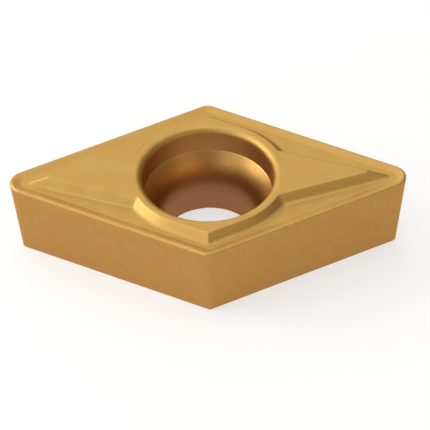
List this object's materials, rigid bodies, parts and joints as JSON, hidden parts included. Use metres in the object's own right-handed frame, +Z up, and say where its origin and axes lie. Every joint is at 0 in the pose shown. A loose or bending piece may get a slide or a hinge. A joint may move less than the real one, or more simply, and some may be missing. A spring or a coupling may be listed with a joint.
{
  "type": "turning insert",
  "caption": "Rhombic positive turning insert with a raised chip-breaking island and a bell-mouthed screw hole through the middle.",
  "frame": {"origin": "centre of the flat seat face, on the axis of the screw hole", "axes": "+X along the long diagonal towards an acute corner, +Z up out of the rake side along the screw hole"},
  "size_m": [0.0188, 0.0106, 0.0043],
  "materials": {
    "gold_coating": "satin"
  },
  "bodies": {
    "root": {"insert_body": "gold_coating"}
  },
  "joints": []
}
